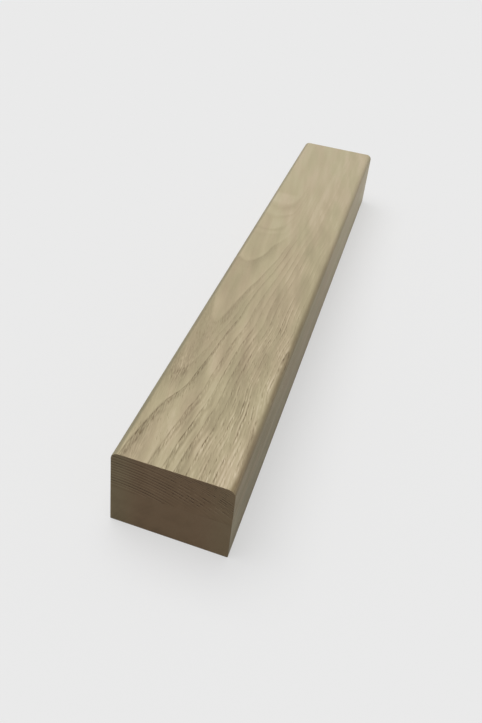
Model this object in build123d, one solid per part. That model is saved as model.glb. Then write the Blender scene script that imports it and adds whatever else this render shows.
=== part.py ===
from build123d import *
import os

# Wooden handrail: a straight rectangular rail, glued up from two boards laid flat on each other.
# The rail lies along Y, its underside is on the plane Z = 0, and the origin is the middle of the
# underside. All sizes are in millimetres.

# Section of the rail
RAIL_WIDTH = 60.0
UPPER_BOARD_THICKNESS = 22.5
LOWER_BOARD_THICKNESS = 22.5

# Length of the piece between its two saw cuts
RAIL_LENGTH = 400.0

# Long edges: the upper two are rounded for the hand, the lower two only lose their sharpness
GRIP_EDGE_RADIUS = 4.0
LOWER_EDGE_BREAK = 0.4

# Edges of the two sawn ends, rubbed down lightly after the cut
END_EDGE_BREAK = 0.25

RAIL_HEIGHT = LOWER_BOARD_THICKNESS + UPPER_BOARD_THICKNESS

# The plane XZ faces along -Y, so a section drawn at the far end is drawn out towards the near one
FAR_END_PLANE = Plane.XZ.offset(-RAIL_LENGTH / 2)
GLUE_PLANE = Plane.XY.offset(LOWER_BOARD_THICKNESS)


def rail_section() -> Sketch:
    """Section of the finished rail, drawn at its far end."""
    with BuildSketch(FAR_END_PLANE) as section:
        Rectangle(RAIL_WIDTH, RAIL_HEIGHT, align=(Align.CENTER, Align.MIN))
        fillet(section.vertices().group_by(Axis.Y)[-1], radius=GRIP_EDGE_RADIUS)
        chamfer(section.vertices().group_by(Axis.Y)[0], length=LOWER_EDGE_BREAK)
    return section.sketch


def moulded_rail() -> Part:
    """The rail as it leaves the moulder and the saw, before it is told apart into its boards."""
    rail = extrude(rail_section(), amount=RAIL_LENGTH)
    near_end, *_, far_end = rail.faces().sort_by(Axis.Y)
    return chamfer(near_end.edges() + far_end.edges(), length=END_EDGE_BREAK)


def main() -> None:
    """Part the moulded rail along its glue line and write each board to its own file."""
    rail = moulded_rail()
    boards = {
        "upper_board": split(rail, bisect_by=GLUE_PLANE, keep=Keep.TOP),
        "lower_board": split(rail, bisect_by=GLUE_PLANE, keep=Keep.BOTTOM),
    }
    os.makedirs("parts", exist_ok=True)
    for name, board in boards.items():
        export_step(board, f"parts/{name}.step")


if __name__ == "__main__":
    main()
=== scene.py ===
"""Looks of a straight wooden handrail, glued up from an upper and a lower board."""

import logging
from dataclasses import dataclass, field
from enum import Enum
from math import pi, radians

import bmesh
import bpy
from mathutils import Matrix, Vector


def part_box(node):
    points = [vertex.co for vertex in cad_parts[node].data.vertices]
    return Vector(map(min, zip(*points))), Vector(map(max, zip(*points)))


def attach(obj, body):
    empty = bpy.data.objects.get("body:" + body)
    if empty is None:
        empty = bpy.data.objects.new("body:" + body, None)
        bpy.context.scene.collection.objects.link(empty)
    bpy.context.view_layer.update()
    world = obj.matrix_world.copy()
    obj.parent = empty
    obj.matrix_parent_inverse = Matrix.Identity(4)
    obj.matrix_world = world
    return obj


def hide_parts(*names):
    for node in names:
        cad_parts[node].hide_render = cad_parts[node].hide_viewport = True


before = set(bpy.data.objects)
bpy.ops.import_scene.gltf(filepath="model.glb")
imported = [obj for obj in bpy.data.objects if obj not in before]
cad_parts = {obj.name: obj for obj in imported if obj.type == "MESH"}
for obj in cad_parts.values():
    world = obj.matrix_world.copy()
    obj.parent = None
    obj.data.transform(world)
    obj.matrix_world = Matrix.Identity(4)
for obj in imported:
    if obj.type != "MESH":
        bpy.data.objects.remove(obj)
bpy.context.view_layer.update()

LOG = logging.getLogger("handrail")
MM = 0.001
MIDDLE = 0.5
ORIGIN = (0.0, 0.0, 0.0)

# Where the colour sockets of a Mix node stand among its inputs, and its colour among its outputs.
MIX_FACTOR, MIX_FIRST, MIX_SECOND, MIX_RESULT = 0, 6, 7, 2

Socket = bpy.types.NodeSocket
Tree = bpy.types.NodeTree
Pair = tuple[float, float]
Triple = tuple[float, float, float]
Colour = Triple

# Points of a curve: a place along the rail or across it, and the value there.
Stations = tuple[Pair, ...]

# A smooth step: where it begins and ends, and its values there, which are 0 and 1 if left out.
Step = tuple[float, ...]

# A noise: its scale along each axis, for a place in millimetres, and its octaves.
Layer = tuple[Triple, float]


class Kind(Enum):
    """What a socket of a node group carries."""

    VALUE = "NodeSocketFloat"
    VECTOR = "NodeSocketVector"


class Half(Enum):
    """The two boards, by the names of their CAD nodes."""

    UPPER = "upper_board"
    LOWER = "lower_board"


class Graph:
    """A node tree under construction, with short ways to add nodes and join them."""

    def __init__(self, tree: Tree) -> None:
        """Starts from an empty tree.

        Args:
            tree: The node tree, whose nodes are removed.
        """
        self.tree = tree
        self.tree.nodes.clear()

    def add(self, kind: str, **settings: object) -> bpy.types.Node:
        """Adds one node.

        Args:
            kind: The node's type, without the leading ShaderNode.
            **settings: Properties of the node to set.

        Returns:
            The new node.
        """
        node = self.tree.nodes.new("ShaderNode" + kind)
        for name, value in settings.items():
            setattr(node, name, value)
        return node

    def place(self, group: Tree, **values: object) -> dict[str, Socket]:
        """Places a node group.

        Args:
            group: The group.
            **values: Its inputs, with an underscore for each space in a name.

        Returns:
            Its outputs by name.
        """
        node = self.add("Group", node_tree=group)
        for name, value in values.items():
            self.feed(node.inputs[name.replace("_", " ")], value)
        return {socket.name: socket for socket in node.outputs}

    def feed(self, socket: Socket, source: object) -> None:
        """Joins a socket to another socket, or sets its value.

        Args:
            socket: The input to fill.
            source: An output socket, or a plain value.
        """
        if isinstance(source, Socket):
            self.tree.links.new(source, socket)
        elif socket.type == "RGBA":
            socket.default_value = (*source, 1.0)
        else:
            socket.default_value = source

    def math(self, operation: str, *values: object, clamp: bool = False) -> Socket:
        """Adds a Math node.

        Args:
            operation: The node's operation.
            *values: Its one to three inputs, sockets or numbers.
            clamp: Whether the result is held between 0 and 1.

        Returns:
            The node's output.
        """
        node = self.add("Math", operation=operation, use_clamp=clamp)
        for socket, value in zip(node.inputs, values):
            self.feed(socket, value)
        return node.outputs[0]

    def times(self, first: object, *others: object) -> Socket:
        """Multiplies two or more values.

        Args:
            first: The first value.
            *others: The other values.

        Returns:
            Their product.
        """
        for other in others:
            first = self.math("MULTIPLY", first, other)
        return first

    def vector(self, operation: str, *values: object) -> Socket:
        """Adds a Vector Math node.

        Args:
            operation: The node's operation.
            *values: Its inputs, sockets or triples.

        Returns:
            The node's vector output.
        """
        node = self.add("VectorMath", operation=operation)
        for socket, value in zip(node.inputs, values):
            self.feed(socket, value)
        return node.outputs[0]

    def split(self, vector: Socket) -> tuple[Socket, Socket, Socket]:
        """Parts a vector or a colour into its three values.

        Args:
            vector: The vector or colour.

        Returns:
            Its X, Y and Z.
        """
        node = self.add("SeparateXYZ")
        self.feed(node.inputs[0], vector)
        return tuple(node.outputs)

    def ramp(self, value: object, low: float, high: float, start: float = 0.0,
             end: float = 1.0) -> Socket:
        """Adds a smooth step from one value to another.

        Args:
            value: What is looked up.
            low: Where the step begins.
            high: Where it ends.
            start: Result at and before low.
            end: Result at and after high.

        Returns:
            The step's output.
        """
        node = self.add("MapRange", interpolation_type="SMOOTHSTEP")
        for name, source in (("Value", value), ("From Min", low), ("From Max", high),
                             ("To Min", start), ("To Max", end)):
            self.feed(node.inputs[name], source)
        return node.outputs["Result"]

    def blend(self, factor: object, first: object, second: object, mode: str = "MIX") -> Socket:
        """Mixes two colours.

        Args:
            factor: Share of the second colour.
            first: The first colour.
            second: The second colour.
            mode: How the two are mixed.

        Returns:
            The mixed colour.
        """
        node = self.add("Mix", data_type="RGBA", blend_type=mode)
        for index, source in ((MIX_FACTOR, factor), (MIX_FIRST, first), (MIX_SECOND, second)):
            self.feed(node.inputs[index], source)
        return node.outputs[MIX_RESULT]

    def noise(self, octaves: float, **place: object) -> Socket:
        """Adds a noise between 0 and 1.

        Args:
            octaves: How many finer noises it holds besides the first.
            **place: Where it is read: Vector, or W for a noise along one line.

        Returns:
            The noise's value.
        """
        node = self.add("TexNoise", noise_dimensions="1D" if "W" in place else "3D")
        for name, source in {"Detail": octaves, "Scale": 1.0, **place}.items():
            self.feed(node.inputs[name], source)
        return node.outputs["Fac"]

    def layer(self, point: Socket, layer: Layer) -> Socket:
        """Adds a noise that is stretched along the grain.

        Args:
            point: Where it is read, in millimetres.
            layer: Its scale and its octaves.

        Returns:
            The noise's value, between 0 and 1.
        """
        scale, octaves = layer
        return self.noise(octaves, Vector=self.vector("MULTIPLY", point, scale))

    def curve(self, value: object, points: Stations) -> Socket:
        """Adds a smooth curve through a few points.

        Args:
            value: What is looked up, between 0 and 1.
            points: Places and heights that the curve passes, each between 0 and 1.

        Returns:
            The curve's height.
        """
        node = self.add("FloatCurve")
        line = node.mapping.curves[0]
        while len(line.points) < len(points):
            line.points.new(MIDDLE, MIDDLE)
        for point, (place, height) in zip(line.points, points):
            point.location = (place, height)
            point.handle_type = "AUTO_CLAMPED"
        node.mapping.update()
        self.feed(node.inputs["Value"], value)
        return node.outputs["Value"]

    def lookup(self, value: object, points: Stations, span: Pair = (0.0, 1.0)) -> Socket:
        """Adds a smooth curve through points of any scale.

        Args:
            value: What is looked up, held between the first and the last place.
            points: Places and heights that the curve passes.
            span: Least and greatest height that the curve can hold.

        Returns:
            The curve's height.
        """
        first, last = points[0][0], points[-1][0]
        low, high = span
        shares = tuple(((place - first) / (last - first), (height - low) / (high - low))
                       for place, height in points)
        share = self.math("DIVIDE", self.math("SUBTRACT", value, first), last - first, clamp=True)
        return self.math("MULTIPLY_ADD", self.curve(share, shares), high - low, low)


def make_group(name: str, takes: tuple[str, ...], gives: tuple[str, ...]
               ) -> tuple[Graph, dict[str, Socket], dict[str, Socket]]:
    """Starts a shader node group that takes a point and some values, and puts out values.

    Args:
        name: The group's name.
        takes: Names of the values that it takes, besides the point.
        gives: Names of the values that it puts out.

    Returns:
        The group's graph, what it is given, and what it has to fill, each by name.
    """
    tree = bpy.data.node_groups.new(name, "ShaderNodeTree")
    sockets = [("Point", "INPUT", Kind.VECTOR)]
    sockets += [(label, "INPUT", Kind.VALUE) for label in takes]
    sockets += [(label, "OUTPUT", Kind.VALUE) for label in gives]
    for label, way, kind in sockets:
        tree.interface.new_socket(label, in_out=way, socket_type=kind.value)
    graph = Graph(tree)
    given, result = tree.nodes.new("NodeGroupInput"), tree.nodes.new("NodeGroupOutput")
    return (graph, {socket.name: socket for socket in given.outputs},
            {socket.name: socket for socket in result.inputs})


def add_object(name: str, data: bpy.types.ID) -> bpy.types.Object:
    """Adds an object to the scene.

    Args:
        name: The object's name.
        data: Its mesh, lamp or camera.

    Returns:
        The object.
    """
    added = bpy.data.objects.new(name, data)
    bpy.context.scene.collection.objects.link(added)
    return added


def add_form(name: str, form: bmesh.types.BMesh, material: bpy.types.Material) -> bpy.types.Object:
    """Adds a finished form to the scene as a mesh object.

    Args:
        name: The object's name.
        form: The form, which is freed.
        material: Its finish.

    Returns:
        The object.
    """
    mesh = bpy.data.meshes.new(name)
    form.to_mesh(mesh)
    form.free()
    mesh.materials.append(material)
    return add_object(name, mesh)


@dataclass
class WoodFigure:
    """The node groups that draw wood in three dimensions, all in millimetres."""

    steady: Step = (3.0, 12.0, 0.2, 1.0)
    slow_wander: Layer = ((0.05, 0.014, 0.05), 1.0)
    quick_wander: Layer = ((0.3, 0.05, 0.3), 3.0)
    quick_share: float = 1.2
    vessel_rim: Step = (0.25, 0.45, 1.0, 0.0)
    share_rim: float = 0.05
    second_place: Triple = (310.0, 70.0, -120.0)
    fibre_reach: Step = (0.25, 0.75, -1.0, 1.0)
    streaks: Layer = ((0.4, 0.035, 0.4), 3.0)
    flecks: Layer = ((1.8, 0.2, 1.8), 1.0)
    tone: Layer = ((0.13, 0.02, 0.13), 1.0)
    warmth: Layer = ((0.11, 0.02, 0.11), 2.0)
    patches: Layer = ((0.22, 0.04, 0.22), 1.0)
    blade_centre: Triple = (140.0, 0.0, -60.0)
    teeth: float = 0.9
    tooth_octaves: float = 3.0

    def __post_init__(self) -> None:
        """Builds each group once."""
        self.rings = self._rings()
        self.pores = self._pores()
        self.fibre = self._fibre()
        self.saw_marks = self._saw_marks()

    def _rings(self) -> Tree:
        """Distance from the pith, with the slow and quick wander of a real tree.

        Returns:
            A group that puts out the distance in millimetres.
        """
        graph, given, result = make_group(
            "growth_rings", ("Pith Across", "Pith Height", "Breadth", "Face Height", "Crowding", "Wander"),
            ("Radius",))
        point = given["Point"]
        across, _, up = graph.split(point)
        across = graph.math("SUBTRACT", across, given["Pith Across"])
        depth = graph.math("SUBTRACT", up, given["Face Height"])
        above = graph.math("SUBTRACT", given["Face Height"], given["Pith Height"])
        above = graph.math("MULTIPLY_ADD", depth, given["Crowding"], above)
        steady = graph.ramp(graph.math("ABSOLUTE", across), *self.steady)
        wander = graph.times(given["Wander"], steady)
        across = graph.times(across, across, given["Breadth"])
        radius = graph.math("SQRT", graph.math("MULTIPLY_ADD", above, above, across))
        slow = graph.layer(point, self.slow_wander)
        quick = graph.layer(point, self.quick_wander)
        drift = graph.times(graph.math("SUBTRACT", slow, MIDDLE), wander)
        shiver = graph.times(graph.math("SUBTRACT", quick, MIDDLE), graph.times(wander, self.quick_share))
        graph.feed(result["Radius"], graph.math("ADD", radius, graph.math("ADD", drift, shiver)))
        return graph.tree

    def _pores(self) -> Tree:
        """Vessels cut open: long dashes on a face along the grain, dots on a sawn end.

        Returns:
            A group that puts out a mask of the open vessels.
        """
        graph, given, result = make_group("open_pores", ("Spacing", "Length", "Share"), ("Mask",))
        size = graph.add("CombineXYZ")
        for axis, length in (("X", "Spacing"), ("Y", "Length"), ("Z", "Spacing")):
            graph.feed(size.inputs[axis], given[length])
        cells = graph.add("TexVoronoi", voronoi_dimensions="3D", feature="F1")
        graph.feed(cells.inputs["Vector"], graph.vector("DIVIDE", given["Point"], size.outputs[0]))
        graph.feed(cells.inputs["Scale"], 1.0)
        shape = graph.ramp(cells.outputs["Distance"], *self.vessel_rim)
        chance, _, _ = graph.split(cells.outputs["Color"])
        share = given["Share"]
        there = graph.ramp(chance, share, graph.math("ADD", share, self.share_rim), 1.0, 0.0)
        graph.feed(result["Mask"], graph.times(shape, there))
        return graph.tree

    def _fibre(self) -> Tree:
        """Fibre along the grain: streaks, flecks, slow changes of tone and warmth, and patches.

        Returns:
            A group that puts out each of them, about 0.
        """
        graph, given, result = make_group(
            "wood_fibre", (), ("Streaks", "Flecks", "Tone", "Warmth", "Patches"))
        point = given["Point"]
        moved = graph.vector("ADD", point, self.second_place)
        layers = {"Streaks": (point, self.streaks), "Flecks": (moved, self.flecks),
                  "Tone": (point, self.tone), "Warmth": (moved, self.warmth),
                  "Patches": (moved, self.patches)}
        for name, (place, layer) in layers.items():
            graph.feed(result[name], graph.ramp(graph.layer(place, layer), *self.fibre_reach))
        return graph.tree

    def _saw_marks(self) -> Tree:
        """Faint arcs that a round blade leaves on a cut end.

        Returns:
            A group that puts out the height of the marks, about 0.5.
        """
        graph, given, result = make_group("saw_marks", (), ("Height",))
        across, _, up = graph.split(graph.vector("SUBTRACT", given["Point"], self.blade_centre))
        sweep = graph.math("SQRT", graph.math("ADD", graph.times(across, across), graph.times(up, up)))
        graph.feed(result["Height"], graph.noise(self.tooth_octaves, W=graph.times(sweep, self.teeth)))
        return graph.tree


@dataclass
class Spot:
    """Sockets that tell where on a board a point lies.

    Point, across, up and grain are in millimetres. Place runs from the left side, 0, to the right,
    1, and station from the near end, 0, to the far end, 1. Sideways and sawn tell how far the
    surface faces a side or an end.
    """

    point: Socket
    across: Socket
    up: Socket
    place: Socket
    station: Socket
    sideways: Socket
    sawn: Socket
    grain: Socket


@dataclass
class Year:
    """Masks of one growth ring: its first line, its vessels and their rows, its wood, and its tone."""

    edge: Socket
    rows: Socket
    vessels: Socket
    spring: Socket
    late: Socket
    rim: Socket
    tone: Socket


@dataclass(frozen=True)
class PithLine:
    """Where the middle of the tree ran beside a board, in millimetres.

    The stations run from the near end, 0, to the far end, 1. Breadth tells how round the rings are
    there, and swell how far a knot close by lifts them, up to a place across the board. The spans
    are the least and greatest values that each curve can hold.
    """

    across: Stations
    height: Stations
    breadth: Stations = ((0.0, 1.0), (1.0, 1.0))
    swell: Stations = ((0.0, 0.0), (1.0, 0.0))
    swell_reach: Step = (-9.0, 3.0, 1.0, 0.0)
    across_span: Pair = (-40.0, 40.0)
    height_span: Pair = (-40.0, 0.0)
    swell_span: Pair = (0.0, 12.0)

    def inputs(self, graph: Graph, spot: Spot) -> dict[str, Socket]:
        """Adds the nodes that read the line at a place.

        Args:
            graph: The material's graph.
            spot: Where the point lies.

        Returns:
            Inputs for the group that draws growth rings.
        """
        across = graph.lookup(spot.station, self.across, self.across_span)
        height = graph.lookup(spot.station, self.height, self.height_span)
        swell = graph.lookup(spot.station, self.swell, self.swell_span)
        reach = graph.ramp(spot.across, *self.swell_reach)
        return {"Pith_Across": across,
                "Pith_Height": graph.math("MULTIPLY_ADD", reach, swell, height),
                "Breadth": graph.curve(spot.station, self.breadth)}


@dataclass(frozen=True)
class Growth:
    """How many rings the tree had laid down at a few distances from its pith, in millimetres.

    Tones tell how light each year's wood is by its count, 0.5 for the middle.
    """

    rings: Stations
    tones: Stations = ((0.0, MIDDLE), (1.0, MIDDLE))

    def count(self, graph: Graph, radius: Socket) -> Socket:
        """Adds the nodes that count the rings out to a distance.

        Args:
            graph: The material's graph.
            radius: Distance from the pith.

        Returns:
            The count, with its fraction.
        """
        return graph.lookup(radius, self.rings, (self.rings[0][1], self.rings[-1][1]))

    def tone(self, graph: Graph, count: Socket) -> Socket:
        """Adds the nodes that look up how light a year's wood is.

        Args:
            graph: The material's graph.
            count: The count of rings, with its fraction.

        Returns:
            The tone, about 0.
        """
        return graph.math("SUBTRACT", graph.lookup(count, self.tones), MIDDLE)


@dataclass(frozen=True)
class Shades:
    """The dark, middle and light of one surface of the wood."""

    dark: Colour
    middle: Colour
    light: Colour

    def colour(self, graph: Graph, tone: Socket) -> Socket:
        """Adds the nodes that colour a tone.

        Args:
            graph: The material's graph.
            tone: From -1, dark, through 0 to 1, light.

        Returns:
            The colour.
        """
        lower = graph.math("ADD", tone, 1.0, clamp=True)
        upper = graph.math("ADD", tone, 0.0, clamp=True)
        return graph.blend(upper, graph.blend(lower, self.dark, self.middle), self.light)


@dataclass(frozen=True)
class Area:
    """A part of the face with soft limits, along the rail and, from left to right, across it."""

    along: Stations
    across: Stations

    def mask(self, graph: Graph, spot: Spot) -> Socket:
        """Adds the nodes of the area's mask.

        Args:
            graph: The material's graph.
            spot: Where the point lies.

        Returns:
            The mask.
        """
        return graph.times(graph.curve(spot.station, self.along), graph.curve(spot.place, self.across))


@dataclass(frozen=True)
class EdgeShade:
    """Painted shade on one rounded edge, where it turns from the top towards a side, from the near end, 0,
    to the far end, 1.

    Towards is 1 for the right edge and -1 for the left. Level is the strength of the painted shade, and
    start how far the surface turns sideways where it begins. Streaks give its unevenness and its base.
    """

    towards: float
    colour: Colour
    level: Stations
    start: Stations
    softness: float = 0.45
    flat_side: Step = (0.95, 1.0, 1.0, 0.0)
    half: Step = (-5.0, 5.0)
    streaks: Pair = (0.2, 0.95)

    def apply(self, graph: Graph, colour: Socket, spot: Spot, streaks: Socket) -> Socket:
        """Adds the nodes that paint shade on the edge.

        Args:
            graph: The material's graph.
            colour: The colour without the painted shade.
            spot: Where the point lies.
            streaks: The wood's streaks.

        Returns:
            The colour with the painted edge shade.
        """
        start = graph.curve(spot.station, self.start)
        rounded = graph.times(graph.ramp(spot.sideways, start, graph.math("ADD", start, self.softness)),
                              graph.ramp(spot.sideways, *self.flat_side))
        here = graph.ramp(graph.times(spot.across, self.towards), *self.half)
        level = graph.times(graph.curve(spot.station, self.level),
                            graph.math("MULTIPLY_ADD", streaks, *self.streaks))
        share = graph.math("MULTIPLY", graph.times(rounded, here), level, clamp=True)
        return graph.blend(share, colour, self.colour, "MULTIPLY")


@dataclass(frozen=True)
class RingLook:
    """How a growth ring is drawn, from its start, 0, to its end, 1.

    Rings soften past the middle of the rail, and are broken by patches and streaks. Softening, onset
    and line end change along the rail. Width, which is that of a ring in millimetres, and the rests,
    which are what a break leaves, change across it. Rows lie so many millimetres from a ring's start.
    """

    softening: Pair = (0.48, 0.58)
    far_crispness: float = 0.2
    patch_break: Pair = (-0.6, 0.5)
    patch_rest: Step = (0.0, 14.0, 0.8, 0.35)
    streak_break: Pair = (-0.55, 0.25)
    streak_rest: Step = (0.0, 14.0, 0.9, 0.25)
    width: Step = (-18.0, 8.0, 7.5, 3.2)
    row_gap: float = 1.7
    rows: Step = (1.5, 4.8, 1.0, 0.0)
    faintest: float = 0.2
    onset: Step = (0.5, 0.6, 0.04, 0.25)
    line_start: float = 0.04
    line_end: Step = (0.12, 0.22, 0.10, 0.30)
    vessels: Step = (0.1, 0.38, 1.0, 0.0)
    spring: Step = (0.1, 0.55, 1.0, 0.0)
    late: Step = (0.4, 0.95)
    rim: Step = (0.82, 0.95)
    close: Step = (0.97, 1.0, 1.0, 0.0)


@dataclass(frozen=True)
class VesselLook:
    """Two sizes of vessel, each by its spacing and length in millimetres, and how many are open.

    The fine share is that in spring wood and that everywhere. The lit side is where the light wall
    of a vessel lies.
    """

    patches: Step = (-0.8, 0.6, 0.15, 1.0)
    fine: Pair = (0.5, 4.0)
    fine_share: Pair = (0.55, 0.02)
    coarse: Pair = (0.6, 4.5)
    coarse_share: float = 0.6
    lit_side: Triple = (0.33, 0.66, 0.0)


@dataclass(frozen=True)
class FaceLook:
    """How far each mark lightens or darkens a face along the grain, and where it is clear."""

    calm_side: Step = (0.15, 0.6, 1.0, 0.5)
    left: Step = (-19.0, -10.0, 1.0, 0.0)
    spring: float = -0.32
    edge: float = -0.42
    late: float = 0.15
    rim: float = 0.09
    slow_across: Step = (-16.0, -6.0, 0.24, 0.27)
    slow_along: Step = (0.1, 0.4, 1.0, 0.75)
    broad_across: Step = (2.0, 10.0, 0.0, 0.13)
    stain_and_shade: float = -0.16
    pale: float = 0.34
    streaks: float = 0.08
    years: float = 0.8
    spring_across: Step = (-16.0, -4.0, 0.5, 0.9)
    stain_along: Step = (0.17, 0.23, 0.5, 0.25)
    least_flecks: float = 0.1
    flecks: float = 0.85
    row_patches: Pair = (0.4, 0.7)
    rows_across: Step = (-16.0, -4.0, 0.3, 1.0)
    rows: float = -0.42
    vessels: float = -0.32
    lit_walls: float = 0.18
    # Painted highlight: the top lighter towards its right edge, most at the near end.
    shine_across: Step = (20.0, 26.0, 0.0, 0.15)
    shine_along: Step = (0.05, 0.4, 1.0, 0.15)
    shine_side: Step = (0.2, 0.6, 1.0, 0.0)


@dataclass(frozen=True)
class EndLook:
    """How far each mark lightens or darkens a sawn end, whose rings are clearest on the left."""

    figure: float = 1.0
    lift: float = 0.0
    lost_streaks: Step = (-0.3, 0.3, 0.8, 0.0)
    lost_up: Step = (26.0, 32.0, 0.9, 0.0)
    lost_across: Step = (-9.0, 3.0)
    right: Pair = (-6.0, 8.0)
    right_figure: float = 1.8
    spring: float = -0.5
    edge: float = -0.8
    rim: float = 1.1
    late: float = 0.25
    vessels: float = -0.2
    slow: float = 0.12
    lift_across: Pair = (4.0, 26.0)
    # Painted shade: the end darker along its bottom, on its left half.
    bottom_shade_up: Step = (2.0, 9.0, 0.13, 0.0)
    bottom_shade_across: Step = (-2.0, 14.0, 1.0, 0.0)
    border: Step = (14.0, 28.0)
    border_across: Step = (-10.0, 10.0, 1.0, 0.55)
    border_tint: Colour = (1.07, 1.22, 1.22)


@dataclass(frozen=True)
class WoodFinish:
    """Planed and sanded ring-porous wood, drawn through the whole thickness of a board."""

    name: str
    pith: PithLine
    growth: Growth
    wander: float
    far_wander: float
    place: Triple
    crowding: float = 1.0
    seed: float = 0.0
    ring: RingLook = RingLook()
    vessels: VesselLook = VesselLook()
    face_look: FaceLook = FaceLook()
    end_look: EndLook = EndLook()
    face: Shades = Shades((0.150, 0.108, 0.052), (0.435, 0.362, 0.230), (0.760, 0.670, 0.500))
    end: Shades = Shades((0.088, 0.056, 0.028), (0.305, 0.203, 0.116), (0.430, 0.300, 0.185))
    figure: Stations = ((0.0, 1.0), (0.35, 0.85), (0.5, 0.85), (0.71, 1.0), (0.78, 0.22), (1.0, 0.16))
    boldness: Stations = ((0.0, 0.8), (0.3, 0.72), (0.45, 0.6), (0.58, 0.7), (0.72, 1.0), (1.0, 1.0))
    left_figure: Stations = ((0.0, 1.0), (0.13, 1.0), (0.19, 0.75), (0.27, 0.42), (0.33, 0.45),
                             (0.4, 0.45), (0.55, 0.6), (1.0, 0.6))
    faint: tuple[Area, ...] = (
        Area(along=((0.0, 0.0), (0.5, 0.0), (0.6, 1.0), (1.0, 1.0)),
             across=((0.0, 0.3), (0.3, 0.3), (0.42, 0.65), (1.0, 0.65))),
        Area(along=((0.0, 0.0), (0.3, 0.0), (0.42, 1.0), (1.0, 1.0)),
             across=((0.0, 0.0), (0.45, 0.1), (0.68, 0.5), (1.0, 0.5))),
        Area(along=((0.0, 0.0), (0.07, 0.1), (0.13, 1.0), (0.4, 1.0), (0.5, 0.0), (1.0, 0.0)),
             across=((0.0, 0.0), (0.33, 0.0), (0.42, 0.25), (0.6, 0.3), (0.72, 0.0), (1.0, 0.0))),
        Area(along=((0.0, 0.0), (0.24, 0.0), (0.32, 1.0), (0.42, 1.0), (0.5, 0.0), (1.0, 0.0)),
             across=((0.0, 0.0), (0.53, 0.0), (0.57, 0.6), (0.66, 0.6), (0.71, 0.0), (1.0, 0.0))))
    stain_and_shade: Area = Area(along=((0.0, 0.6), (0.05, 0.35), (0.09, 0.0), (0.125, 0.0), (0.155, 1.0),
                              (0.2, 1.0), (0.25, 0.8), (0.3, 0.8), (0.335, 0.0), (1.0, 0.0)),
                       across=((0.0, 0.4), (0.05, 0.6), (0.11, 1.0), (0.18, 1.0), (0.24, 0.0),
                               (1.0, 0.0)))
    pale: Area = Area(along=((0.0, 0.0), (0.66, 0.0), (0.692, 0.9), (0.716, 1.0), (0.735, 0.0),
                             (1.0, 0.0)),
                      across=((0.0, 0.8), (0.1, 1.0), (0.24, 0.9), (0.33, 0.2), (0.42, 0.0),
                              (1.0, 0.0)))
    cloud: Stations = ((0.0, 1.0), (0.3, 0.7), (0.5, 0.6), (0.7, 0.5), (0.8, 0.35), (1.0, 0.35))
    detail: Stations = ((0.0, 1.0), (0.2, 0.95), (0.3, 0.65), (0.45, 0.22), (0.7, 0.1), (1.0, 0.06))
    # Tone along the rail: darker from near the near end to the middle, and paler towards the far end,
    # which is painted sheen.
    tone_and_sheen: Stations = ((0.0, 0.45), (0.1, 0.355), (0.25, 0.358), (0.45, 0.375), (0.6, 0.485),
                        (1.0, 0.55))
    warm: Colour = (1.020, 0.990, 1.012)
    cool: Colour = (0.984, 1.006, 0.985)
    near_tint: Colour = (1.0, 0.995, 0.955)
    far_tint: Colour = (0.985, 1.0, 0.985)
    # Painted shade: the sides darker, most at the near end, fading out by 0.6 of the way along.
    side_shade: Colour = (0.930, 0.930, 0.900)
    side_facing: Step = (0.9, 1.0)
    side_along: Step = (0.0, 0.6, 1.0, 0.0)
    # Painted shade on the two rounded edges of the top, darker where they turn away from it.
    edges: tuple[EdgeShade, ...] = (
        EdgeShade(towards=-1.0, colour=(0.60, 0.63, 0.62), level=((0.0, 1.0), (1.0, 0.85)),
                 start=((0.0, 0.08), (1.0, 0.08))),
        EdgeShade(towards=1.0, colour=(0.66, 0.61, 0.53),
                 level=((0.0, 1.0), (0.05, 0.87), (0.4, 0.75), (0.7, 0.55), (1.0, 0.4)),
                 start=((0.0, 0.0), (0.04, 0.3), (0.1, 0.36), (0.16, 0.28), (0.24, 0.24), (0.4, 0.28),
                        (0.55, 0.38), (0.75, 0.48), (1.0, 0.5))))
    grain_slope: float = radians(-7.5)
    sawn_facing: Step = (0.55, 0.9)
    roughness: float = 0.6
    end_roughness: float = 0.8
    vessel_roughness: float = 0.15
    vessel_depth: float = -1.0
    streak_height: float = 0.15
    saw_height: float = 1.2
    relief_strength: float = 0.5
    relief_height: float = 0.12 * MM
    glue: Colour = (0.11, 0.078, 0.045)
    glue_reach: Step = (0.04, 0.12, 1.0, 0.0)
    glue_patches: Layer = ((0.12, 0.12, 0.12), 1.0)
    glue_strength: Step = (0.4, 0.6, 0.1, 0.45)


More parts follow.
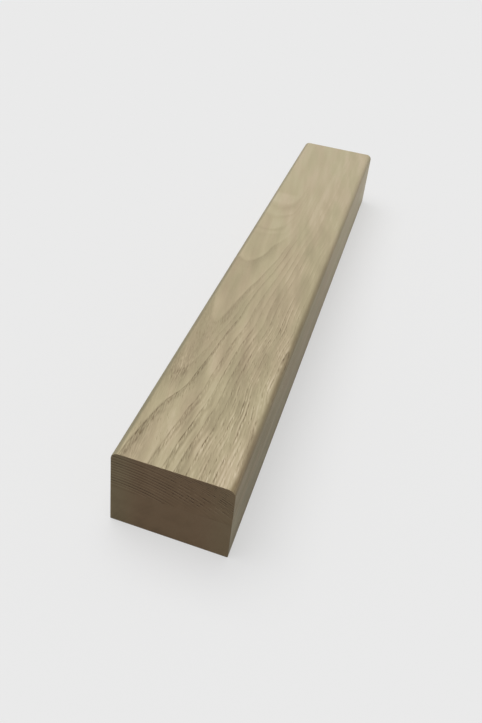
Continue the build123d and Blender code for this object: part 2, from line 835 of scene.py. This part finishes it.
class WoodMaterial:
    """The material of one board, under construction."""

    def __init__(self, finish: WoodFinish, figure: WoodFigure, rail: "Rail") -> None:
        """Reads the place of a point, and draws the rings and the vessels there.

        Args:
            finish: The board's finish.
            figure: The shared wood node groups.
            rail: Sizes of the rail.
        """
        self.material = bpy.data.materials.new(finish.name)
        self.material.use_nodes = True
        self.graph = Graph(self.material.node_tree)
        self.finish = finish
        self.figure = figure
        self.rail = rail
        self.spot = self._spot()
        self.fibre = self.graph.place(figure.fibre, Point=self.spot.grain)
        self.year = self._year()
        self.pores, self.lit = self._vessels()

    def build(self) -> bpy.types.Material:
        """Joins the face, the painted shade on its rounded edges, the sawn ends and the glue line.

        Returns:
            The finished material.
        """
        graph, finish, spot = self.graph, self.finish, self.spot
        colour = self._tint(finish.face.colour(graph, self._face_tone()))
        # Painted shade on the rounded edges of the top.
        for edge in finish.edges:
            colour = edge.apply(graph, colour, spot, self.fibre["Streaks"])
        colour = self._glue_line(graph.blend(spot.sawn, colour, self._end_colour()))
        rough = graph.ramp(spot.sawn, 0.0, 1.0, finish.roughness, finish.end_roughness)
        rough = graph.math("MULTIPLY_ADD", self.pores, finish.vessel_roughness, rough, clamp=True)
        shader = graph.add("BsdfPrincipled")
        for name, source in (("Base Color", colour), ("Roughness", rough), ("Normal", self._relief())):
            graph.feed(shader.inputs[name], source)
        graph.feed(graph.add("OutputMaterial").inputs["Surface"], shader.outputs[0])
        return self.material

    def _spot(self) -> Spot:
        """Reads where a point lies.

        Returns:
            The place's sockets.
        """
        graph, rail = self.graph, self.rail
        coordinates = graph.add("TexCoord").outputs
        point = graph.vector("SCALE", coordinates["Object"])
        point.node.inputs["Scale"].default_value = 1.0 / MM
        across, along, up = graph.split(point)
        facing_side, facing_end, _ = graph.split(coordinates["Normal"])
        turned = graph.add("Mapping", vector_type="POINT")
        for name, source in (("Vector", point), ("Location", self.finish.place),
                             ("Rotation", (0.0, 0.0, self.finish.grain_slope))):
            graph.feed(turned.inputs[name], source)
        return Spot(
            point=point,
            across=across,
            up=up,
            place=graph.math("MULTIPLY_ADD", across, MM / rail.width, MIDDLE, clamp=True),
            station=graph.math("MULTIPLY_ADD", along, MM / rail.length, MIDDLE, clamp=True),
            sideways=graph.math("ABSOLUTE", facing_side),
            sawn=graph.ramp(graph.math("ABSOLUTE", facing_end), *self.finish.sawn_facing),
            grain=turned.outputs["Vector"])

    def _year(self) -> Year:
        """Draws the growth rings.

        Returns:
            The masks of a ring's parts.
        """
        graph, finish, spot, look = self.graph, self.finish, self.spot, self.finish.ring
        rings = graph.place(
            self.figure.rings, Point=spot.point, Face_Height=self.rail.upper[1].z / MM,
            Crowding=finish.crowding,
            Wander=graph.ramp(spot.station, *look.softening, finish.wander, finish.far_wander),
            **finish.pith.inputs(graph, spot))
        count = finish.growth.count(graph, rings["Radius"])
        phase = graph.math("FRACT", count)
        broken = graph.times(
            graph.ramp(self.fibre["Patches"], *look.patch_break,
                       graph.ramp(spot.across, *look.patch_rest), 1.0),
            graph.ramp(self.fibre["Streaks"], *look.streak_break,
                       graph.ramp(spot.across, *look.streak_rest), 1.0))
        crisp = graph.ramp(spot.station, *look.softening, 1.0, look.far_crispness)
        apart = graph.times(phase, graph.ramp(spot.across, *look.width))
        rows = graph.math("COSINE", graph.times(apart, 2.0 * pi / look.row_gap))
        chance = graph.add("TexWhiteNoise", noise_dimensions="1D")
        graph.feed(chance.inputs["W"], graph.math("ADD", graph.math("FLOOR", count), finish.seed))
        strength = graph.math("MULTIPLY_ADD", chance.outputs["Value"], 1.0 - look.faintest, look.faintest)
        onset = graph.ramp(phase, 0.0, graph.ramp(spot.station, *look.onset))
        first = graph.times(onset, strength, broken)
        line_end = graph.ramp(spot.station, *look.line_end)
        closing = graph.times(broken, graph.ramp(phase, *look.close))
        return Year(
            edge=graph.times(first, crisp, graph.ramp(phase, look.line_start, line_end, 1.0, 0.0)),
            rows=graph.times(rows, first, graph.ramp(apart, *look.rows)),
            vessels=graph.times(first, graph.ramp(phase, *look.vessels)),
            spring=graph.times(first, graph.ramp(phase, *look.spring)),
            late=graph.times(graph.ramp(phase, *look.late), closing),
            rim=graph.times(graph.ramp(phase, *look.rim), closing, crisp),
            tone=finish.growth.tone(graph, count))

    def _vessels(self) -> tuple[Socket, Socket]:
        """Draws the vessels, and the lit wall beside each.

        Returns:
            The mask of the vessels and that of their lit walls.
        """
        graph, look = self.graph, self.finish.vessels
        patches = graph.ramp(self.fibre["Patches"], *look.patches)
        fine = graph.math("MULTIPLY_ADD", graph.times(self.year.spring, patches), *look.fine_share)
        coarse = graph.times(self.year.vessels, look.coarse_share)
        masks = []
        for side in (ORIGIN, look.lit_side):
            beside = graph.vector("ADD", self.spot.grain, side)
            sizes = [graph.place(self.figure.pores, Point=beside, Spacing=spacing, Length=length,
                                 Share=share)["Mask"]
                     for (spacing, length), share in ((look.fine, fine), (look.coarse, coarse))]
            masks.append(graph.math("MAXIMUM", *sizes))
        pores, lit = masks
        return pores, graph.times(lit, graph.math("SUBTRACT", 1.0, pores))

    def _sum(self, strength: Socket, shares: tuple[tuple[Socket, float], ...]) -> Socket:
        """Adds up what lightens and darkens the wood.

        Args:
            strength: Strength of the whole.
            shares: Masks, each with how far it shifts the tone.

        Returns:
            The tone, 0 for the middle.
        """
        total = 0.0
        for mask, shift in shares:
            total = self.graph.math("MULTIPLY_ADD", mask, shift, total)
        return self.graph.times(total, strength)

    def _face_tone(self) -> Socket:
        """Adds up the tone of a face along the grain.

        Returns:
            The tone, 0 for the middle.
        """
        graph, finish, spot, fibre, year = self.graph, self.finish, self.spot, self.fibre, self.year
        look = finish.face_look
        calm = graph.ramp(spot.sideways, *look.calm_side)
        faint = 0.0
        for area in finish.faint:
            faint = graph.math("MAXIMUM", area.mask(graph, spot), faint)
        fade = graph.math("SUBTRACT", graph.curve(spot.station, finish.left_figure), 1.0)
        left = graph.math("MULTIPLY_ADD", graph.ramp(spot.across, *look.left), fade, 1.0)
        bold = graph.times(graph.curve(spot.place, finish.boldness), calm,
                           graph.math("SUBTRACT", 1.0, faint), left)
        rings = self._sum(graph.times(graph.curve(spot.station, finish.figure), bold), (
            (year.spring, look.spring), (year.edge, look.edge), (year.late, look.late),
            (year.rim, look.rim)))

        slow = graph.times(fibre["Tone"], graph.ramp(spot.across, *look.slow_across),
                           graph.ramp(spot.station, *look.slow_along))
        broad = graph.times(fibre["Patches"], graph.ramp(spot.across, *look.broad_across))
        stain_and_shade = finish.stain_and_shade.mask(graph, spot)
        clouds = self._sum(graph.times(graph.curve(spot.station, finish.cloud), calm), (
            (slow, 1.0), (broad, 1.0), (stain_and_shade, look.stain_and_shade),
            (finish.pale.mask(graph, spot), look.pale), (fibre["Streaks"], look.streaks),
            (year.tone, look.years)))

        spring = graph.times(year.spring, graph.ramp(spot.across, *look.spring_across))
        flecks = graph.times(fibre["Flecks"], graph.math(
            "MAXIMUM", graph.times(stain_and_shade, graph.ramp(spot.station, *look.stain_along)),
            graph.math("ADD", spring, look.least_flecks)))
        rows = graph.times(year.rows, graph.math("MULTIPLY_ADD", fibre["Patches"], *look.row_patches),
                           graph.ramp(spot.across, *look.rows_across))
        quick = self._sum(graph.times(graph.curve(spot.station, finish.detail), bold), (
            (self.pores, look.vessels), (self.lit, look.lit_walls), (flecks, look.flecks),
            (rows, look.rows)))

        # Tone along the rail, with painted sheen that makes the far end paler.
        tone_and_sheen = graph.math("SUBTRACT", graph.curve(spot.station, finish.tone_and_sheen), MIDDLE)
        # Painted highlight along the right edge of the top, near the near end.
        shine = graph.times(graph.ramp(spot.across, *look.shine_across),
                            graph.ramp(spot.station, *look.shine_along),
                            graph.ramp(spot.sideways, *look.shine_side))
        total = rings
        for part in (clouds, quick, tone_and_sheen, shine):
            total = graph.math("ADD", total, part)
        return total

    def _end_colour(self) -> Socket:
        """Colours a sawn end, with its paler borders and painted shade along its bottom.

        Returns:
            The colour.
        """
        graph, spot, year, look = self.graph, self.spot, self.year, self.finish.end_look
        lost = graph.math("MAXIMUM", graph.ramp(self.fibre["Streaks"], *look.lost_streaks),
                          graph.ramp(spot.up, *look.lost_up))
        faded = graph.times(graph.ramp(spot.across, *look.lost_across), lost)
        clear = graph.times(graph.math("SUBTRACT", 1.0, faded),
                            graph.ramp(spot.across, *look.right, look.figure,
                                       look.figure * look.right_figure))
        rings = self._sum(clear, (
            (year.spring, look.spring), (year.edge, look.edge), (year.rim, look.rim),
            (year.late, look.late), (self.pores, look.vessels)))
        tone = graph.math("MULTIPLY_ADD", self.fibre["Tone"], look.slow, rings)
        tone = graph.math("ADD", tone, graph.ramp(spot.across, *look.lift_across, 0.0, look.lift))
        # Painted shade along the bottom of the end, on its left half.
        stain_and_shade = graph.times(graph.ramp(spot.up, *look.bottom_shade_up),
                            graph.ramp(spot.across, *look.bottom_shade_across))
        colour = self.finish.end.colour(graph, graph.math("SUBTRACT", tone, stain_and_shade))
        border = graph.times(graph.ramp(graph.math("ABSOLUTE", spot.across), *look.border),
                             graph.ramp(spot.across, *look.border_across))
        return graph.blend(border, colour, look.border_tint, "MULTIPLY")

    def _tint(self, colour: Socket) -> Socket:
        """Adds the slow changes of hue, and paints shade on the sides, most at the near end.

        Args:
            colour: The colour so far.

        Returns:
            The tinted colour.
        """
        graph, finish, spot = self.graph, self.finish, self.spot
        # Painted shade on the sides, strongest at the near end.
        side = graph.times(graph.ramp(spot.sideways, *finish.side_facing),
                           graph.ramp(spot.station, *finish.side_along))
        warmth = graph.ramp(self.fibre["Warmth"], -1.0, 1.0)
        for share, tint in ((1.0, graph.blend(warmth, finish.cool, finish.warm)),
                            (1.0, graph.blend(spot.station, finish.near_tint, finish.far_tint)),
                            (side, finish.side_shade)):
            colour = graph.blend(share, colour, tint, "MULTIPLY")
        return colour

    def _glue_line(self, colour: Socket) -> Socket:
        """Draws the thin dark line where the boards meet.

        Args:
            colour: The colour without it.

        Returns:
            The colour with the line.
        """
        graph, finish, spot = self.graph, self.finish, self.spot
        away = graph.math("ABSOLUTE", graph.math("SUBTRACT", spot.up, self.rail.glue_height / MM))
        line = graph.ramp(away, *finish.glue_reach)
        patchy = graph.ramp(graph.layer(spot.grain, finish.glue_patches), *finish.glue_strength)
        return graph.blend(graph.times(line, patchy), colour, finish.glue)

    def _relief(self) -> Socket:
        """Presses the vessels in and leaves marks of the saw.

        Returns:
            The bent normal.
        """
        graph, finish, spot = self.graph, self.finish, self.spot
        marks = graph.place(self.figure.saw_marks, Point=spot.grain)["Height"]
        height = graph.times(self.pores, finish.vessel_depth)
        height = graph.math("MULTIPLY_ADD", self.fibre["Streaks"], finish.streak_height, height)
        height = graph.math("MULTIPLY_ADD", spot.sawn, graph.times(marks, finish.saw_height), height)
        bump = graph.add("Bump")
        for name, source in (("Strength", finish.relief_strength), ("Distance", finish.relief_height),
                             ("Height", height)):
            graph.feed(bump.inputs[name], source)
        return bump.outputs[0]


@dataclass
class Board:
    """One board of the rail, planed, rounded and sawn square."""

    half: Half
    finish: WoodFinish
    low: Vector
    high: Vector
    grip_radius: float = 4.0 * MM
    grip_facets: int = 14
    lower_break: float = 0.4 * MM
    lower_facets: int = 2
    end_break: float = 0.25 * MM
    end_facets: int = 3
    step_along: float = 8.0 * MM
    sharp_angle: float = radians(60.0)
    flat_weight: int = 100

    def build(self, figure: WoodFigure, rail: "Rail") -> bpy.types.Object:
        """Models the board and dresses it.

        Args:
            figure: The shared wood node groups.
            rail: Sizes of the rail.

        Returns:
            The board's object.
        """
        form = bmesh.new()
        bmesh.ops.create_cube(form, size=1.0)
        bmesh.ops.scale(form, vec=self.high - self.low, verts=form.verts)
        bmesh.ops.translate(form, vec=(self.low + self.high) / 2, verts=form.verts)
        if self.half is Half.UPPER:
            self._bevel(form, self._long_edges(form, self.high.z), self.grip_radius, self.grip_facets)
            seam = self.low.z
        else:
            self._bevel(form, self._long_edges(form, self.low.z), self.lower_break, self.lower_facets)
            seam = self.high.z
        self._bevel(form, self._end_edges(form, seam), self.end_break, self.end_facets)
        self._divide(form)
        material = WoodMaterial(self.finish, figure, rail).build()
        board = add_form(self.half.value + "_dressed", form, material)
        self._smooth(board)
        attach(board, "root")
        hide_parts(self.half.value)
        return board

    def _long_edges(self, form: bmesh.types.BMesh, height: float) -> list[bmesh.types.BMEdge]:
        """Finds the two edges that run along the board at one height.

        Args:
            form: The board so far.
            height: Height of the edges.

        Returns:
            The edges.
        """
        found = []
        for edge in form.edges:
            first, second = (vert.co for vert in edge.verts)
            along = abs(first.y - second.y) > self.grip_radius
            if along and abs(first.z - height) < self.end_break:
                found.append(edge)
        return found

    def _end_edges(self, form: bmesh.types.BMesh, seam: float) -> list[bmesh.types.BMEdge]:
        """Finds the outer edges of the two sawn ends, without those on the glue line.

        Args:
            form: The board so far.
            seam: Height of the glue line.

        Returns:
            The edges.
        """
        found = []
        for edge in form.edges:
            first, second = (vert.co for vert in edge.verts)
            level = abs(first.y - second.y) < self.end_break
            at_end = min(abs(first.y - self.low.y), abs(first.y - self.high.y)) < self.end_break
            on_seam = max(abs(first.z - seam), abs(second.z - seam)) < self.end_break
            if level and at_end and not on_seam:
                found.append(edge)
        return found

    def _bevel(self, form: bmesh.types.BMesh, edges: list[bmesh.types.BMEdge], offset: float,
               facets: int) -> None:
        """Rounds edges.

        Args:
            form: The board so far.
            edges: The edges to round.
            offset: How far from the edge the round begins.
            facets: Facets of the round.
        """
        bmesh.ops.bevel(form, geom=edges, offset=offset, offset_type="OFFSET", affect="EDGES",
                        segments=facets, profile=0.5, material=-1, clamp_overlap=True)

    def _divide(self, form: bmesh.types.BMesh) -> None:
        """Cuts the long faces into short ones.

        Args:
            form: The board so far.
        """
        count = round((self.high.y - self.low.y) / self.step_along)
        for index in range(1, count):
            place = self.low.y + index * self.step_along
            bmesh.ops.bisect_plane(form, geom=[*form.verts, *form.edges, *form.faces],
                                   plane_co=(0.0, place, 0.0), plane_no=(0.0, 1.0, 0.0))

    def _smooth(self, board: bpy.types.Object) -> None:
        """Shades the rounds smooth and keeps the flats flat.

        Args:
            board: The board's object.
        """
        board.data.shade_smooth()
        board.data.set_sharp_from_angle(angle=self.sharp_angle)
        weighted = board.modifiers.new("flat faces stay flat", "WEIGHTED_NORMAL")
        weighted.keep_sharp = True
        weighted.weight = self.flat_weight


@dataclass
class Rail:
    """The whole rail, with the sizes that its two boards share."""

    upper: tuple[Vector, Vector] = field(default_factory=lambda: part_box(Half.UPPER.value))

    @property
    def length(self) -> float:
        """Length from end to end."""
        return self.upper[1].y - self.upper[0].y

    @property
    def width(self) -> float:
        """Width from side to side."""
        return self.upper[1].x - self.upper[0].x

    @property
    def glue_height(self) -> float:
        """Height of the glue line above the underside."""
        return self.upper[0].z

    def finishes(self) -> dict[Half, WoodFinish]:
        """The wood of each board.

        Returns:
            The finishes by board.
        """
        upper = WoodFinish(
            name="upper_board_wood",
            pith=PithLine(
                across=((0.0, -31.0), (0.05, -29.0), (0.075, -27.0), (0.1, -25.0), (0.12, -23.0),
                        (0.14, -22.0), (0.17, -21.0), (0.25, -20.2), (0.3, -18.8), (0.34, -19.6),
                        (0.38, -20.0), (0.42, -20.1), (0.44, -20.3), (0.47, -21.1), (0.5, -22.0),
                        (0.6, -20.0), (1.0, -19.0)),
                height=((0.0, -19.54), (0.05, -19.485), (0.1, -19.49), (0.12, -19.39),
                        (0.14, -19.2), (0.17, -19.1), (0.2, -18.96), (0.25, -18.69), (0.3, -18.43),
                        (0.36, -18.0), (0.39, -17.6), (0.43, -16.9), (0.47, -16.0), (0.5, -15.2),
                        (0.6, -15.0), (1.0, -14.5)),
                breadth=((0.0, 0.589), (0.05, 0.62), (0.1, 0.72), (0.14, 0.88), (0.19, 1.0), (1.0, 1.0)),
                swell=((0.0, 0.0), (0.5, 0.0), (0.56, 1.6), (0.58, 3.8), (0.63, 5.8), (0.68, 8.4),
                       (0.75, 9.5), (1.0, 9.5))),
            growth=Growth(
                rings=((35.3, -2.0), (51.6, 5.0), (56.2, 7.0), (58.4, 8.0), (61.2, 9.0), (63.5, 10.0),
                       (63.9, 10.35), (64.1, 11.0), (64.6, 12.0), (64.85, 12.36), (66.0, 13.0),
                       (67.4, 14.0), (68.9, 15.0), (70.4, 16.0), (71.6, 17.0), (73.6, 19.0),
                       (76.25, 21.0), (82.0, 25.0), (90.0, 31.0)),
                tones=((9.0, 0.5), (10.3, 0.42), (11.95, 0.4), (12.02, 0.32), (12.28, 0.34),
                       (12.45, 0.52), (12.9, 0.54), (13.1, 0.5), (13.9, 0.5), (14.2, 0.44),
                       (14.9, 0.48), (15.1, 0.32), (16.2, 0.36), (17.0, 0.5), (18.0, 0.44),
                       (19.0, 0.48), (20.0, 0.42), (21.5, 0.5), (23.0, 0.5))),
            wander=0.3, far_wander=0.9, place=ORIGIN, crowding=1.35, seed=1750.0,
            end_look=EndLook(figure=1.3))
        lower = WoodFinish(
            name="lower_board_wood",
            pith=PithLine(
                across=((0.0, 30.0), (0.4, 34.0), (1.0, 28.0)),
                height=((0.0, -29.0), (0.5, -24.0), (1.0, -27.0))),
            growth=Growth(rings=((20.0, 0.0), (40.0, 9.0), (70.0, 21.0), (100.0, 36.0))),
            wander=2.0, far_wander=2.0, place=(57.0, 91.0, -33.0), roughness=0.5,
            end_look=EndLook(figure=0.06, lift=0.14),
            end=Shades((0.088, 0.058, 0.030), (0.305, 0.205, 0.118), (0.380, 0.265, 0.165)))
        return {Half.UPPER: upper, Half.LOWER: lower}

    def build(self) -> None:
        """Builds both boards."""
        figure = WoodFigure()
        for half, finish in self.finishes().items():
            low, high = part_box(half.value)
            board = Board(half, finish, Vector(low), Vector(high)).build(figure, self)
            LOG.info("%s: %d faces", half.value, len(board.data.polygons))


@dataclass(frozen=True)
class Studio:
    """Pale floor, soft light and an even pale surrounding."""

    pale: float = 0.823
    bounce: Step = (-0.3, 0.3, 0.05, 1.0)
    floor_size: float = 12.0
    floor_drop: float = 0.1 * MM
    sky: float = 0.36
    lamp_level: float = 0.64
    lamp_softness: float = radians(60.0)
    lamp_direction: Triple = (-0.28, 0.1, 1.0)
    shadow_share: float = 0.4

    def build(self) -> None:
        """Makes the floor, the lamp and the world."""
        form = bmesh.new()
        bmesh.ops.create_grid(form, x_segments=1, y_segments=1, size=self.floor_size / 2)
        bmesh.ops.translate(form, vec=(0.0, 0.0, -self.floor_drop), verts=form.verts)
        add_form("floor", form, self._floor_finish())
        self._lamp()
        self._world()
        LOG.info("studio: floor, lamp and world")

    def _seen(self, graph: Graph) -> Socket:
        """Tells the camera's own rays, and mirrored ones, from those that light the object.

        Args:
            graph: The material's graph.

        Returns:
            1 for a ray that is seen, 0 for one that lights.
        """
        path = graph.add("LightPath").outputs
        seen = graph.math("MAXIMUM", path["Is Camera Ray"], path["Is Glossy Ray"])
        return graph.math("MAXIMUM", seen, path["Is Transmission Ray"])

    def _floor_finish(self) -> bpy.types.Material:
        """Makes the pale floor, which keeps a part of the object's shadow.

        Returns:
            The floor's material.
        """
        material = bpy.data.materials.new("pale_floor")
        material.use_nodes = True
        graph = Graph(material.node_tree)
        _, along, _ = graph.split(graph.add("TexCoord").outputs["Object"])
        bounce = graph.ramp(along, *self.bounce)
        grey = graph.add("CombineXYZ")
        for axis in grey.inputs:
            graph.feed(axis, bounce)
        matt = graph.add("BsdfDiffuse")
        graph.feed(matt.inputs["Color"],
                   graph.blend(self._seen(graph), grey.outputs[0], (self.pale,) * 3))
        glow = graph.add("Emission")
        graph.feed(glow.inputs["Color"], (self.pale,) * 3)
        camera_ray = graph.add("LightPath").outputs["Is Camera Ray"]
        mix = graph.add("MixShader")
        for socket, source in zip(mix.inputs, (graph.times(camera_ray, 1.0 - self.shadow_share),
                                               matt.outputs[0], glow.outputs[0])):
            graph.feed(socket, source)
        graph.feed(graph.add("OutputMaterial").inputs["Surface"], mix.outputs[0])
        return material

    def _lamp(self) -> None:
        """Hangs one broad soft lamp."""
        towards = Vector(self.lamp_direction).normalized()
        lamp = bpy.data.lights.new("soft_lamp", "SUN")
        lamp.angle = self.lamp_softness
        lamp.energy = self.lamp_level * pi / towards.z
        hung = add_object("soft_lamp", lamp)
        hung.rotation_mode = "QUATERNION"
        hung.rotation_quaternion = towards.to_track_quat("Z", "Y")

    def _world(self) -> None:
        """Surrounds the scene with an even pale light."""
        world = bpy.data.worlds.new("pale_room")
        world.use_nodes = True
        graph = Graph(world.node_tree)
        sky = graph.add("Background")
        graph.feed(sky.inputs["Color"],
                   graph.blend(self._seen(graph), (self.sky,) * 3, (self.pale,) * 3))
        graph.feed(graph.add("OutputWorld").inputs["Surface"], sky.outputs[0])
        bpy.context.scene.world = world


@dataclass(frozen=True)
class PhotographView:
    """The photograph's camera, as fitted to the straight edges of the rail."""

    width: int = 482
    height: int = 723
    focal_pixels: float = 735.4
    centre: Pair = (230.0, 251.0)
    eye: Triple = (72.7 * MM, -415.4 * MM, 299.8 * MM)
    heading: float = radians(14.78)
    tilt: float = radians(31.28)
    roll: float = radians(5.95)
    nearest: float = 10.0 * MM

    def build(self) -> None:
        """Makes the camera."""
        camera = bpy.data.cameras.new("camera")
        camera.lens = self.focal_pixels * camera.sensor_width / self.height
        camera.shift_x = (self.width / 2 - self.centre[0]) / self.height
        camera.shift_y = (self.centre[1] - self.height / 2) / self.height
        camera.clip_start = self.nearest
        turn = (Matrix.Rotation(self.heading, 4, "Z")
                @ Matrix.Rotation(pi / 2 - self.tilt, 4, "X")
                @ Matrix.Rotation(self.roll, 4, "Z"))
        standing = add_object("camera", camera)
        standing.matrix_world = Matrix.Translation(self.eye) @ turn
        bpy.context.scene.camera = standing


def main() -> None:
    """Builds the dressed rail, the studio and the camera."""
    logging.basicConfig(level=logging.INFO, format="%(message)s")
    Rail().build()
    Studio().build()
    PhotographView().build()
    bpy.context.scene.view_settings.view_transform = "Standard"


if __name__ == "__main__":
    main()
